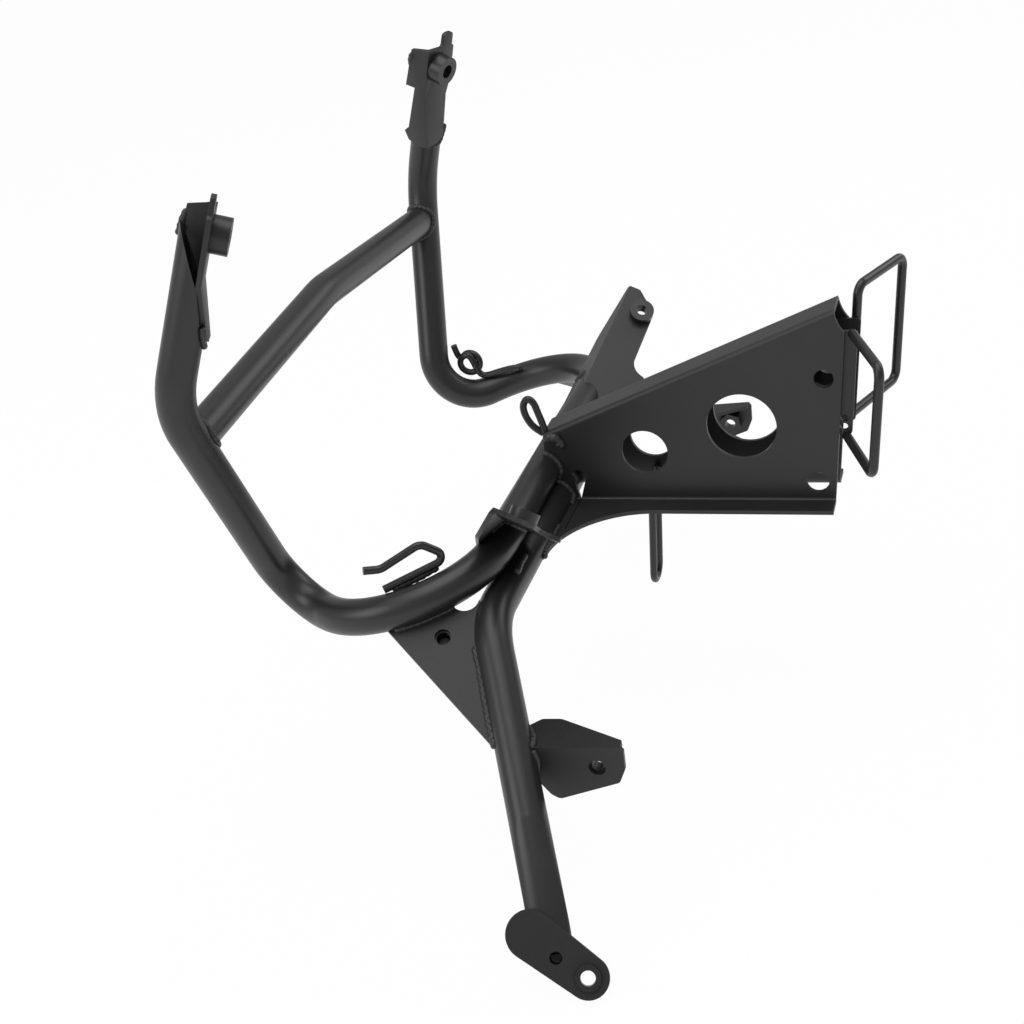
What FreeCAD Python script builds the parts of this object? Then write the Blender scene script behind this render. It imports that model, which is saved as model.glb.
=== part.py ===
"""Fairing stay of a motorcycle: welded steel tube and folded sheet.

Millimetres. +X is the rider's left, +Y points to the rear and +Z up. The origin is the middle of
the upper steering-head bolt. The stay is a mirror image about X = 0, apart from its wire clips.
"""
import FreeCAD
import Part
import math
import os

V = FreeCAD.Vector

# Tubes
TUBE_OD = 19.1
TUBE_WALL = 1.6
TUBE_R = TUBE_OD / 2
WELD_OVERLAP = 0.3

# Transverse run of the front loop, seen from the upper steering-head bolt
TRANSVERSE_AHEAD = 160.0
TRANSVERSE_BELOW = 52.0

# Front loop: corner points of its centre line on the left, from the middle of the transverse run
LOOP_TOP = (165.0, -94.0, 193.0)
LOOP_SHOULDER = (180.2, -121.3, 115.7)
LOOP_FOOT = (119.9, -113.6, -25.4)
LOOP_REAR_CORNER_X = 204.5
LOOP_SHOULDER_R = 49.0
LOOP_FOOT_R = 27.0
LOOP_REAR_R = 52.0
LOOP_TOP_RISE = 16.0
LOOP_CUT_HIGH = (-8.4, 4.0)
LOOP_CUT_LOW = (10.5, -39.0)

# Cross brace between the shoulders
BRACE_END = (170.2, -121.5, 93.0)
BRACE_PEAK = (0.0, -119.6, 106.6)
BRACE_PEAK_R = 76.0

# Leg tube: lies against the transverse run and turns down to both feet
LEG_ROUND_LOOP_DEG = 73.0
LEG_CORNER_X = 145.6
LEG_CORNER_R = 45.0
LEG_SLOPE = (0.726, 0.317, -0.610)
LEG_LENGTH = 166.0

# Head bracket: folded channel with an outward foot flange on each side
HEAD_W = 24.0
HEAD_T = 2.3
HEAD_FOLD_R = 3.0
HEAD_FRONT_TOP = (2.0, 21.5)
HEAD_REAR_TOP = (167.0, 89.9)
HEAD_SCOOP_R = 22.0
HEAD_REAR_SHOULDER = (172.0, 77.0)
HEAD_REAR_BOTTOM = (163.0, -19.0)
HEAD_FLANGE_W = 13.5
HEAD_FLARE_START_Y = 66.0
HEAD_FLARE_X = 82.0
HEAD_FLARE_R = 50.0
LARGE_HOLE_D = 38.0
LARGE_HOLE = (114.8, 25.0)
MIDDLE_HOLE_D = 26.0
MIDDLE_HOLE = (59.8, 10.0)
HEAD_BOLT_D = 10.5
LOWER_BOLT_D = 12.0
LOWER_BOLT = (153.9, -8.3)
RELIEF_W = 8.0
RELIEF_H = 14.0
RELIEF_Y = 20.5

# Straps inside the channel's rear edges, which carry the cable guides
STRAP_T = 2.0
STRAP_W = 20.0
STRAP_OUT = 6.5
STRAP_TOP_Z = 77.5
STRAP_BOTTOM_Z = 19.0
STRAP_SLOT_W = 4.0
STRAP_SLOT_H = 9.0
STRAP_SLOT_UP = 7.0

# Wire guides and clips
GUIDE_WIRE_D = 5.0
CLIP_WIRE_D = 4.2
WIRE_BEND_R = 6.0
GUIDE_REACH = 57.0
GUIDE_LEFT_Z = (76.0, 18.0)
GUIDE_LEFT_Y = (193.5, 188.0)
GUIDE_RIGHT_Z = (94.0, 22.0)
GUIDE_RIGHT_Y = (196.8, 190.5)
GUIDE_RIGHT_END_Z = 50.0
HAIRPIN = ((61.0, -8.0), (55.3, -77.0))
RING_X = 6.0
RING_W = 22.0
RING_H = 11.0
HOOK_POINTS = [(153.8, -53.7, 13.9), (149.4, -46.3, 12.4), (138.0, -27.5, 21.0), (130.6, -15.3, 9.7), (149.5, -46.6, 0.6)]
HOOK_RADII = [8.0, 6.0, 4.0]
PIGTAIL_END = (-144.5, -104.0, 13.5)
PIGTAIL_EYE = (-142.5, -93.5, 1.6)
PIGTAIL_R = 6.5
PIGTAIL_START_DEG = 140.0
PIGTAIL_TURN_DEG = 400.0
PIGTAIL_STEPS = 16
PIGTAIL_TAIL = [(-141.0, -86.0, -6.2), (-142.0, -78.0, -6.0), (-144.0, -60.0, -3.3)]

# Fairing tabs over the rear corners of the loop
TAB_T = 2.5
TAB_FOLD_OUT = (150.3, 19.6, 48.7)
TAB_FOLD_IN = (102.0, 4.8, 18.8)
TAB_CORNER = (140.2, 38.0, 32.8)
TAB_FLANGE_TIP = (120.9, -3.9, 15.2)
TAB_OUTLINE = [(0, 0), (0, 7), (7, 15), (15, 21.3), (54.7, 22.6), (58, 33), (68, 33), (84, 24), (92, 10), (92, 0)]
TAB_OUTLINE_R = [0, 3, 3, 8, 10, 2, 3, 3, 3, 0]
TAB_FLANGE = [(0, 0), (0, 3), (35, 17), (84, 22), (84, 0)]
TAB_BOSS_AT = (16.2, 14.0)
TAB_BOSS_D = 15.0
TAB_BOSS_H = 5.0
TAB_BOSS_BORE_D = 6.8

# Gussets between the loop and the legs, in the plane of both centre lines
GUSSET_T = 2.5
GUSSET_ORIGIN = (149.4, -48.6, -10.9)
GUSSET_ALONG = (124.6, -9.4, -2.1)
GUSSET_LEG = (189.2, 24.6, -54.9)
GUSSET_OUTLINE = [(-6, 2), (45, 0), (46, 30), (31.7, 88.7), (20.7, 91.7)]
GUSSET_HOLE = (21.0, 28.0)
GUSSET_HOLE_D = 8.5
GUSSET_NOTCH = (39.5, 13.0)
GUSSET_NOTCH_R = 7.5

# Angle brackets on the legs
ANGLE_T = 2.3
ANGLE_X = 197.0
ANGLE_FOLD_FRONT = (38.6, -57.0)
ANGLE_FOLD_REAR = (80.4, -54.3)
ANGLE_FACE = [(30, -57.6), (80.4, -54.3), (82.1, -56.5), (81.9, -67.0), (78.5, -74.9), (47.1, -86.9), (42.9, -84.2), (31, -68)]
ANGLE_FACE_R = [0, 0, 0, 3, 3, 4, 3, 0]
ANGLE_LEDGE = [(-9, 0), (42, 0), (42, 6), (7, 24), (-3, 24), (-9, 18)]
ANGLE_LEDGE_R = [0, 0, 2, 6, 2, 0]
ANGLE_HOLE = (68.2, -66.8)
ANGLE_HOLE_D = 8.5
ANGLE_NUT_AF = 13.0
ANGLE_NUT_BORE_D = 6.8
ANGLE_NUT_H = 6.5

# Feet
FOOT_T = 3.0
FOOT_BIG = (264.5, 47.3, -112.2)
FOOT_SMALL = (269.9, 74.0, -129.8)
FOOT_FACING = (0.75, 0.25, 0.61)
FOOT_BIG_R = 11.5
FOOT_SMALL_R = 10.0
FOOT_NOTCH_R = 3.0
FOOT_NOTCH_U = 20.0
FOOT_VENT_U = 15.5
FOOT_VENT_V = -1.5
FOOT_VENT_D = 6.0
FOOT_COLLAR_D = 12.0
FOOT_COLLAR_H = 5.5
FOOT_BORE_D = 7.0

# Mirror brackets, drawn from the top corner of the loop: across, ahead-to-rear and up the tube
MIRROR_T = 2.5
MIRROR_FACING = (-0.317, 0.873, -0.371)
MIRROR_BACK = [(5.0, 24.0), (5.0, -19.0), (11.75, -49.0)]
MIRROR_FACE = [(-12, 17.5), (-2, 19.5), (-2, 32), (7, 33), (8, 21.5), (11.75, 22), (11.75, -46), (2, -50), (-8, -44), (-12, -16)]
MIRROR_FLANGE = [(-1.8, 22.6), (-6.9, -9.9), (1.0, -8.2), (-0.5, -23.8), (-1.3, -39), (-4.2, -42.4), (1.5, -47)]
MIRROR_BOSS_SIDE = 3.3
MIRROR_BOSS_UP = 2.7
MIRROR_BOSS_D = 18.0
MIRROR_BOSS_H = 8.5
MIRROR_BOSS_BORE_D = 8.5


def at(x, y, z):
    """Place measured from the middle of the transverse run."""
    return V(x, y - TRANSVERSE_AHEAD, z - TRANSVERSE_BELOW)


def unit(v):
    """Copy of a vector at length one."""
    w = V(v)
    w.normalize()
    return w


def mirrored(shape):
    """The same piece on the right-hand side."""
    return shape.mirror(V(0, 0, 0), V(1, 0, 0))


def flip(p):
    """The same point on the right-hand side."""
    return V(-p.x, p.y, p.z)


def bent_wire(points, radii):
    """Straight runs between the points, joined by tangent arcs of the given radii."""
    edges = []
    start = points[0]
    for before, corner, after, radius in zip(points, points[1:], points[2:], radii):
        a = unit(before - corner)
        b = unit(after - corner)
        half = a.getAngle(b) / 2
        run = radius / math.tan(half)
        middle = unit(a + b) * (radius / math.sin(half) - radius)
        first = corner + a * run
        last = corner + b * run
        edges.append(Part.LineSegment(start, first).toShape())
        edges.append(Part.Arc(first, corner + middle, last).toShape())
        start = last
    edges.append(Part.LineSegment(start, points[-1]).toShape())
    return Part.Wire(edges)


def rod(points, radii, diameter):
    """Round bar bent along the points."""
    path = bent_wire(points, radii)
    along = unit(points[1] - points[0])
    ring = Part.Wire(Part.Circle(points[0], along, diameter / 2).toShape())
    return path.makePipeShell([ring], True, True)


def tube(points, radii):
    """Hollow tube bent along the points."""
    return rod(points, radii, TUBE_OD).cut(rod(points, radii, TUBE_OD - 2 * TUBE_WALL))


def cylinder(base, axis, diameter, length):
    """Solid cylinder from its base point along an axis."""
    return Part.makeCylinder(diameter / 2, length, base, axis)


def drill(middle, axis, diameter, reach=40.0):
    """Cutter for a round hole through a sheet near its middle point."""
    return cylinder(middle - axis * (reach / 2), axis, diameter, reach)


def ring(base, axis, outer_d, inner_d, length):
    """Round collar with a through bore."""
    return cylinder(base, axis, outer_d, length).cut(drill(base, axis, inner_d, 4 * length))


def hex_nut(base, axis, across_flats, bore_d, height):
    """Six-sided nut with a through bore."""
    corner_r = across_flats / math.sqrt(3)
    side = unit(axis.cross(V(0, 1, 0.2)))
    other = axis.cross(side)
    turns = [math.radians(60 * k) for k in range(7)]
    rim = [base + side * (corner_r * math.cos(a)) + other * (corner_r * math.sin(a)) for a in turns]
    nut = Part.Face(Part.makePolygon(rim)).extrude(axis * height)
    return nut.cut(drill(base, axis, bore_d, 4 * height))


def largest(shape):
    """The biggest of the separate solids that a cut leaves."""
    return max(shape.Solids, key=lambda solid: solid.Volume)


class Sheet:
    """A flat plane in space on which outlines are drawn."""

    def __init__(self, origin, towards_u, towards_v):
        self.origin = origin
        self.u = unit(towards_u - origin)
        self.n = unit(self.u.cross(towards_v - origin))
        self.v = self.n.cross(self.u)

    def point(self, u, v, up=0.0):
        """Place on the sheet, or above it."""
        return self.origin + self.u * u + self.v * v + self.n * up

    def uv(self, p):
        """Coordinates on the sheet of a place in space."""
        d = p - self.origin
        return (d.dot(self.u), d.dot(self.v))

    def plate(self, corners, radii, thickness, below=0.0):
        """Flat plate with rounded corners, standing on the sheet."""
        pts = [self.point(u, v, -below) for u, v in corners]
        return Part.Face(rounded_loop(pts, radii)).extrude(self.n * thickness)


    def profile(self, corners, start, end):
        """Block whose (height, v) outline runs along u from start to end."""
        pts = [self.point(start, v, up) for up, v in corners]
        return Part.Face(Part.makePolygon(pts + pts[:1])).extrude(self.u * (end - start))


def rounded_loop(points, radii):
    """Closed outline with an arc at each corner whose radius is not zero."""
    count = len(points)
    edges = []
    starts = []
    ends = []
    arcs = []
    for i, (corner, radius) in enumerate(zip(points, radii)):
        a = unit(points[i - 1] - corner)
        b = unit(points[(i + 1) % count] - corner)
        half = a.getAngle(b) / 2
        run = radius / math.tan(half) if radius else 0.0
        starts.append(corner + a * run)
        ends.append(corner + b * run)
        arcs.append(corner + unit(a + b) * (radius / math.sin(half) - radius) if radius else None)
    for i in range(count):
        if arcs[i] is not None:
            edges.append(Part.Arc(starts[i], arcs[i], ends[i]).toShape())
        following = starts[(i + 1) % count]
        if ends[i].distanceToPoint(following) > 1e-6:
            edges.append(Part.LineSegment(ends[i], following).toShape())
    return Part.Wire(edges)


def loop_points():
    """Corner points of the front loop, from the left top round to the right top."""
    top = at(*LOOP_TOP)
    shoulder = at(*LOOP_SHOULDER)
    top = top + unit(top - shoulder) * LOOP_TOP_RISE
    left = [top, shoulder, at(*LOOP_FOOT), at(LOOP_REAR_CORNER_X, 0, 0)]
    return left + [flip(p) for p in reversed(left)]


def loop_radii():
    """Bend radii of the front loop, in the same order."""
    half = [LOOP_SHOULDER_R, LOOP_FOOT_R, LOOP_REAR_R]
    return half + half[::-1]


def leg_points():
    """Corner points of the leg tube, from the left foot to the right foot."""
    turn = math.radians(LEG_ROUND_LOOP_DEG)
    corner = at(LEG_CORNER_X, TUBE_OD * math.cos(turn), -TUBE_OD * math.sin(turn))
    foot = corner + unit(V(*LEG_SLOPE)) * LEG_LENGTH
    return [foot, corner, flip(corner), flip(foot)]


def leg_place(length):
    """Place on the left leg's centre line, measured down from its corner."""
    foot, corner = leg_points()[:2]
    return corner + unit(foot - corner) * length


def solid_loop():
    """Outer form of the front loop, used to cope what is welded on it."""
    return rod(loop_points(), loop_radii(), TUBE_OD)


def solid_legs():
    """Outer form of the leg tube, used to cope what is welded on it."""
    return rod(leg_points(), [LEG_CORNER_R, LEG_CORNER_R], TUBE_OD)


def mirror_sheet():
    """Plane through the top corner of the left loop: across, up the tube, and facing rearwards."""
    top = at(*LOOP_TOP)
    up = unit(top - at(*LOOP_SHOULDER))
    across = up.cross(V(*MIRROR_FACING))
    return Sheet(top, top + across, top + up)


def front_loop():
    """Front loop: one bent tube whose tops are cut on a slant behind the mirror brackets."""
    sheet = mirror_sheet()
    (n_high, up_high), (n_low, up_low) = LOOP_CUT_HIGH, LOOP_CUT_LOW
    slope = (up_low - up_high) / (n_low - n_high)
    far = TUBE_OD
    corners = [(n_high - far, up_high - slope * far), (n_low + far, up_low + slope * far), (n_low + far, 3 * far)]
    wedge = sheet.profile(corners, -far, far)
    bracket = mirror_bracket_blank()
    loop = tube(loop_points(), loop_radii())
    for cutter in (wedge, mirrored(wedge), bracket, mirrored(bracket)):
        loop = loop.cut(cutter)
    return largest(loop)


def cross_brace():
    """Brace between the shoulders of the loop, coped to it at both ends."""
    left = at(*BRACE_END)
    peak = at(*BRACE_PEAK)
    points = [left, peak, flip(left)]
    return tube(points, [BRACE_PEAK_R]).cut(solid_loop())


def legs():
    """Leg tube, trimmed where the foot plates lie on its ends."""
    pipe = tube(leg_points(), [LEG_CORNER_R, LEG_CORNER_R])
    half = 3 * TUBE_OD
    corners = [(-half, -half), (half, -half), (half, half), (-half, half)]
    slab = foot_sheet().plate(corners, [0] * 4, half, FOOT_T - WELD_OVERLAP)
    return pipe.cut(slab).cut(mirrored(slab))


def head_side_outline(inset=0.0, past=0.0):
    """Side outline of the channel in the plane X = 0, lowered and lengthened for the hollow."""
    slope = V(0, HEAD_REAR_TOP[0] - HEAD_FRONT_TOP[0], HEAD_REAR_TOP[1] - HEAD_FRONT_TOP[1])
    slope = unit(slope)
    down = V(0, slope.z, -slope.y) * inset
    front = at(0, *HEAD_FRONT_TOP) + down - slope * past
    rear = at(0, *HEAD_REAR_TOP) + down + slope * past
    shoulder = at(0, *HEAD_REAR_SHOULDER)
    foot = at(0, *HEAD_REAR_BOTTOM)
    if past:
        return Part.makePolygon([front, rear, rear - V(0, 0, 200), front - V(0, 0, 200), front])
    chord = shoulder - rear
    sag = HEAD_SCOOP_R - math.sqrt(HEAD_SCOOP_R ** 2 - (chord.Length / 2) ** 2)
    bulge = (rear + shoulder) * 0.5 + unit(V(0, chord.z, -chord.y)) * sag
    low_front = V(0, front.y, foot.z)
    return Part.Wire([
        Part.LineSegment(front, rear).toShape(),
        Part.Arc(rear, bulge, shoulder).toShape(),
        Part.LineSegment(shoulder, foot).toShape(),
        Part.LineSegment(foot, low_front).toShape(),
        Part.LineSegment(low_front, front).toShape(),
    ])


def slab_across(outline, width):
    """Outline in the plane X = 0 made into a block centred on it."""
    block = Part.Face(outline).extrude(V(width, 0, 0))
    block.translate(V(-width / 2, 0, 0))
    return block


def long_top_edges(block, width):
    """The two edges along the sloping top of a block."""
    found = []
    for edge in block.Edges:
        a, b = edge.Vertexes[0].Point, edge.Vertexes[-1].Point
        along_side = abs(abs(a.x) - width / 2) < 1e-6 and abs(a.x - b.x) < 1e-6
        if along_side and abs(a.y - b.y) > 100 and abs(a.z - b.z) > 30:
            found.append(edge)
    return found


def foot_flange():
    """Bottom fold of the left side with its flange, flared out along the leg tube."""
    wall_x = HEAD_W / 2
    top = at(0, *HEAD_REAR_BOTTOM).z
    bend_in = HEAD_FOLD_R - HEAD_T + 0.8
    reach = HEAD_FLARE_X
    c = V(wall_x + bend_in, 0, top + bend_in)

    def on_bend(radius, degrees):
        a = math.radians(degrees)
        return c + V(radius * math.cos(a), 0, radius * math.sin(a))

    out_r = bend_in + HEAD_T
    section = Part.Wire([
        Part.Arc(on_bend(bend_in, 180), on_bend(bend_in, 225), on_bend(bend_in, 270)).toShape(),
        Part.LineSegment(on_bend(bend_in, 270), V(reach, 0, top)).toShape(),
        Part.LineSegment(V(reach, 0, top), V(reach, 0, top - HEAD_T)).toShape(),
        Part.LineSegment(V(reach, 0, top - HEAD_T), on_bend(out_r, 270)).toShape(),
        Part.Arc(on_bend(out_r, 270), on_bend(out_r, 225), on_bend(out_r, 180)).toShape(),
        Part.LineSegment(on_bend(out_r, 180), on_bend(bend_in, 180)).toShape(),
    ])
    rear = at(0, *HEAD_REAR_BOTTOM).y
    front = at(0, HEAD_FRONT_TOP[0], 0).y
    section.translate(V(0, front, 0))
    strip = Part.Face(section).extrude(V(0, rear - front, 0))
    edge_x = wall_x + HEAD_FLANGE_W
    start = at(edge_x, HEAD_FLARE_START_Y, 0)
    middle_turn = math.radians(45)
    turn_c = start + V(HEAD_FLARE_R, 0, 0)
    on_arc = turn_c + V(-HEAD_FLARE_R * math.cos(middle_turn), -HEAD_FLARE_R * math.sin(middle_turn), 0)
    end = turn_c + V(0, -HEAD_FLARE_R, 0)
    plan = Part.Wire([
        Part.LineSegment(V(0, rear, 0), V(edge_x, rear, 0)).toShape(),
        Part.LineSegment(V(edge_x, rear, 0), V(start.x, start.y, 0)).toShape(),
        Part.Arc(V(start.x, start.y, 0), V(on_arc.x, on_arc.y, 0), V(end.x, end.y, 0)).toShape(),
        Part.LineSegment(V(end.x, end.y, 0), V(end.x, front, 0)).toShape(),
        Part.LineSegment(V(end.x, front, 0), V(0, front, 0)).toShape(),
        Part.LineSegment(V(0, front, 0), V(0, rear, 0)).toShape(),
    ])
    plan.translate(V(0, 0, top - 20))
    return strip.common(Part.Face(plan).extrude(V(0, 0, 40)))


def head_holes():
    """Cutters for the round holes through both sides of the channel."""
    holes = [(LARGE_HOLE, LARGE_HOLE_D), (MIDDLE_HOLE, MIDDLE_HOLE_D), (LOWER_BOLT, LOWER_BOLT_D)]
    cutters = [drill(at(0, *place), V(1, 0, 0), d, 4 * HEAD_W) for place, d in holes]
    cutters.append(drill(V(0, 0, 0), V(1, 0, 0), HEAD_BOLT_D, 4 * HEAD_W))
    return cutters


def relief():
    """Tear-shaped relief at the front of the bottom fold."""
    low = HEAD_REAR_BOTTOM[1]
    eye = at(0, RELIEF_Y, low + RELIEF_H)
    reach = V(4 * HEAD_W, 0, 0)
    left, right, tip = eye - V(0, RELIEF_W / 2, 0), eye + V(0, RELIEF_W / 2, 0), at(0, RELIEF_Y - 1, low - 1)
    wedge = Part.Face(Part.makePolygon([left, right, tip, left])).extrude(reach)
    wedge.translate(reach * -0.5)
    return drill(eye, V(1, 0, 0), RELIEF_W, reach.Length).fuse(wedge)


def head_bracket():
    """Folded channel that clamps the steering head, welded to the loop and the leg tube."""
    outer = slab_across(head_side_outline(), HEAD_W)
    outer = outer.makeFillet(HEAD_FOLD_R, long_top_edges(outer, HEAD_W))
    inner_w = HEAD_W - 2 * HEAD_T
    inner = slab_across(head_side_outline(HEAD_T, 40.0), inner_w)
    inner = inner.makeFillet(HEAD_FOLD_R - HEAD_T, long_top_edges(inner, inner_w))
    channel = outer.cut(inner)
    flange = foot_flange()
    bend_top = flange.BoundBox.ZMax
    below = Part.makeBox(400, 600, 60, V(-200, -400, bend_top - 60))
    channel = channel.cut(below).fuse([flange, mirrored(flange)])
    for cutter in head_holes() + [relief()]:
        channel = channel.cut(cutter)
    return largest(channel.cut(solid_loop()).cut(solid_legs())).removeSplitter()


def rear_edge_y(z):
    """Rear edge of the channel's sides at a height above the transverse run."""
    (y0, z0), (y1, z1) = HEAD_REAR_BOTTOM, HEAD_REAR_SHOULDER
    return y0 + (y1 - y0) * (z - z0) / (z1 - z0)


def guide_strap():
    """Left strap inside the channel's rear edge, with a slot near its lower end."""
    x = HEAD_W / 2 - HEAD_T - STRAP_T
    top = at(x, rear_edge_y(STRAP_TOP_Z), STRAP_TOP_Z)
    low = at(x, rear_edge_y(STRAP_BOTTOM_Z), STRAP_BOTTOM_Z)
    out, back = V(0, STRAP_OUT, 0), V(0, STRAP_W - STRAP_OUT, 0)
    corners = [top - back, top + out, low + out, low - back]
    strap = Part.Face(rounded_loop(corners, [STRAP_T] * 4)).extrude(V(STRAP_T, 0, 0))
    strap = strap.cut(drill(V(0, 0, 0), V(1, 0, 0), HEAD_BOLT_D))
    eye = low + unit(top - low) * STRAP_SLOT_UP + V(0, STRAP_OUT / 3, 0)
    half = unit(top - low) * ((STRAP_SLOT_H - STRAP_SLOT_W) / 2)
    for place in (eye - half, eye + half):
        strap = strap.cut(drill(place, V(1, 0, 0), STRAP_SLOT_W, 20.0))
    return strap


def guide(points):
    """Rectangular cable guide of bent wire."""
    return rod(points, [WIRE_BEND_R] * (len(points) - 2), GUIDE_WIRE_D)


def left_guide():
    """Left cable guide: a square loop whose ends butt on the strap."""
    x = HEAD_W / 2 - HEAD_T - WELD_OVERLAP
    top, low = GUIDE_LEFT_Z
    corners = [at(GUIDE_REACH, GUIDE_LEFT_Y[0], top), at(GUIDE_REACH, GUIDE_LEFT_Y[1], low)]
    seat = GUIDE_WIRE_D * 0.75
    return guide([at(x, rear_edge_y(top) + seat, top)] + corners + [at(x, rear_edge_y(low) + seat, low)])


def right_guide():
    """Right cable guide: taller, with its upper end run down the strap."""
    face = HEAD_W / 2 - HEAD_T
    x = -(face + GUIDE_WIRE_D / 2 - WELD_OVERLAP)
    top, low = GUIDE_RIGHT_Z
    seat = GUIDE_WIRE_D * 0.75
    strap = [at(x, rear_edge_y(z) + seat, z) for z in (GUIDE_RIGHT_END_Z, top)]
    corners = [at(-GUIDE_REACH, GUIDE_RIGHT_Y[0], top), at(-GUIDE_REACH, GUIDE_RIGHT_Y[1], low)]
    return guide(strap + corners + [at(-(face - WELD_OVERLAP), rear_edge_y(low) + seat, low)])


def hairpin_guide():
    """Thin wire bent to a U, its legs on the inner faces of the channel."""
    x = HEAD_W / 2 - HEAD_T - CLIP_WIRE_D / 2 + WELD_OVERLAP
    (y_top, z_top), (y_low, z_low) = HAIRPIN
    ends = [at(side * x, y_top, z_top) for side in (1, -1)]
    corners = [at(side * x, y_low, z_low) for side in (1, -1)]
    bend_r = x - WELD_OVERLAP
    return rod([ends[0]] + corners + [ends[1]], [bend_r, bend_r], CLIP_WIRE_D)


def ring_clip():
    """Small wire eye standing on the front of the channel's top."""
    slope = unit(V(0, HEAD_REAR_TOP[0] - HEAD_FRONT_TOP[0], HEAD_REAR_TOP[1] - HEAD_FRONT_TOP[1]))
    up = V(0, -slope.z, slope.y)
    base = at(RING_X, *HEAD_FRONT_TOP) + slope * CLIP_WIRE_D + up * (CLIP_WIRE_D / 2 - WELD_OVERLAP)
    half = V(RING_W / 2, 0, 0)
    rise = up * RING_H
    gap = V(WELD_OVERLAP, 0, 0)
    points = [base + gap, base + half, base + half + rise, base - half + rise, base - half, base - gap]
    return rod(points, [RING_H / 2 - WELD_OVERLAP] * 4, CLIP_WIRE_D)


def hook_clip():
    """Open wire hook on top of the left rear corner of the loop."""
    return rod([at(*p) for p in HOOK_POINTS], HOOK_RADII, CLIP_WIRE_D)


def pigtail_clip():
    """Wire eye of one turn on top of the right side of the loop."""
    points = [at(*PIGTAIL_END)]
    for k in range(PIGTAIL_STEPS + 1):
        share = k / PIGTAIL_STEPS
        turn = math.radians(PIGTAIL_START_DEG - PIGTAIL_TURN_DEG * share)
        x, y, z = PIGTAIL_EYE
        side = x + CLIP_WIRE_D * 1.1 * (share - 0.5)
        points.append(at(side, y + PIGTAIL_R * math.cos(turn), z + PIGTAIL_R * math.sin(turn)))
    points += [at(*p) for p in PIGTAIL_TAIL]
    curve = Part.BSplineCurve()
    curve.interpolate(points)
    path = Part.Wire(curve.toShape())
    end = Part.Wire(Part.Circle(points[0], curve.tangent(0)[0], CLIP_WIRE_D / 2).toShape())
    return path.makePipeShell([end], True, True)


def fold(a, b, start, end, thickness):
    """Rounded outside of the bend where two sheets meet along their common line."""
    first = a.point(start, 0)
    one = a.point(start, 0, thickness)
    two = first + b.n * thickness
    middle = first + unit(a.n + b.n) * thickness
    edges = [
        Part.LineSegment(first, one).toShape(),
        Part.Arc(one, middle, two).toShape(),
        Part.LineSegment(two, first).toShape(),
    ]
    return Part.Face(Part.Wire(edges)).extrude(a.u * (end - start))


def mirror_bracket_blank():
    """Angle that stands on the slanted top of the loop, before it is fitted to the tube."""
    sheet = mirror_sheet()
    ahead = [(n - MIRROR_T, up) for n, up in reversed(MIRROR_BACK)]
    side = MIRROR_FACE[5][0]
    high = MIRROR_FACE[3][1] + MIRROR_T
    back = [(MIRROR_BACK[0][0], high)] + MIRROR_BACK[1:]
    ahead = ahead[:-1] + [(MIRROR_BACK[0][0] - MIRROR_T, high)]
    wall = sheet.profile(back + ahead, -2 * TUBE_OD, 2 * TUBE_OD)
    outline = sheet.plate(MIRROR_FACE, [1.5] * len(MIRROR_FACE), 4 * TUBE_OD, 2 * TUBE_OD)
    rear = wall.common(outline)
    flange = sheet.profile([MIRROR_BACK[0]] + MIRROR_FLANGE[::-1][:0] + MIRROR_BACK[1:] + MIRROR_FLANGE[::-1],
                           side - MIRROR_T, side)
    return rear.fuse(flange).removeSplitter()


def mirror_bracket():
    """Left mirror bracket, fitted to the tube."""
    return largest(mirror_bracket_blank().cut(mirror_drill()))


def mirror_seat():
    """Place on the back of the mirror bracket where the boss stands."""
    return mirror_sheet().point(MIRROR_BOSS_SIDE, MIRROR_BOSS_UP, MIRROR_BACK[0][0])


def mirror_drill():
    """Cutter for the hole behind the mirror boss."""
    return drill(mirror_seat(), mirror_sheet().n, MIRROR_BOSS_BORE_D, 3 * MIRROR_T)


def mirror_boss():
    """Left threaded boss for the mirror."""
    return ring(mirror_seat(), mirror_sheet().n, MIRROR_BOSS_D, MIRROR_BOSS_BORE_D, MIRROR_BOSS_H)


def tab_sheets():
    """Under side of the left fairing tab and outer side of its flange, meeting at the fold."""
    out, inner = at(*TAB_FOLD_OUT), at(*TAB_FOLD_IN)
    face = Sheet(out, inner, at(*TAB_CORNER))
    flange = Sheet(out, inner, at(*TAB_FLANGE_TIP))
    return face, flange


def fairing_tab():
    """Left fairing tab with its flange folded down to the tube."""
    face, flange = tab_sheets()
    plate = face.plate(TAB_OUTLINE, TAB_OUTLINE_R, TAB_T)
    skirt = flange.plate(TAB_FLANGE, [0, 1, 12, 0, 0], TAB_T, TAB_T)
    tab = plate.fuse(skirt).cut(solid_loop()).cut(solid_legs())
    tab = largest(tab)
    u, v = TAB_BOSS_AT
    return tab.cut(drill(face.point(u, v), face.n, TAB_BOSS_BORE_D))


def tab_boss():
    """Left threaded boss on top of the fairing tab."""
    face = tab_sheets()[0]
    return ring(face.point(*TAB_BOSS_AT), face.n * -1, TAB_BOSS_D, TAB_BOSS_BORE_D, TAB_BOSS_H)


def gusset():
    """Left gusset in the corner between the loop and the leg."""
    sheet = Sheet(at(*GUSSET_ORIGIN), at(*GUSSET_ALONG), at(*GUSSET_LEG))
    plate = sheet.plate(GUSSET_OUTLINE, [0] * 5, GUSSET_T, GUSSET_T / 2)
    plate = plate.cut(drill(sheet.point(*GUSSET_HOLE), sheet.n, GUSSET_HOLE_D))
    plate = plate.cut(drill(sheet.point(*GUSSET_NOTCH), sheet.n, 2 * GUSSET_NOTCH_R))
    return largest(plate.cut(solid_loop()).cut(solid_legs()))


def angle_point(y, z):
    """Place on the outer face of the left angle bracket."""
    return at(ANGLE_X, y, z)


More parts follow.
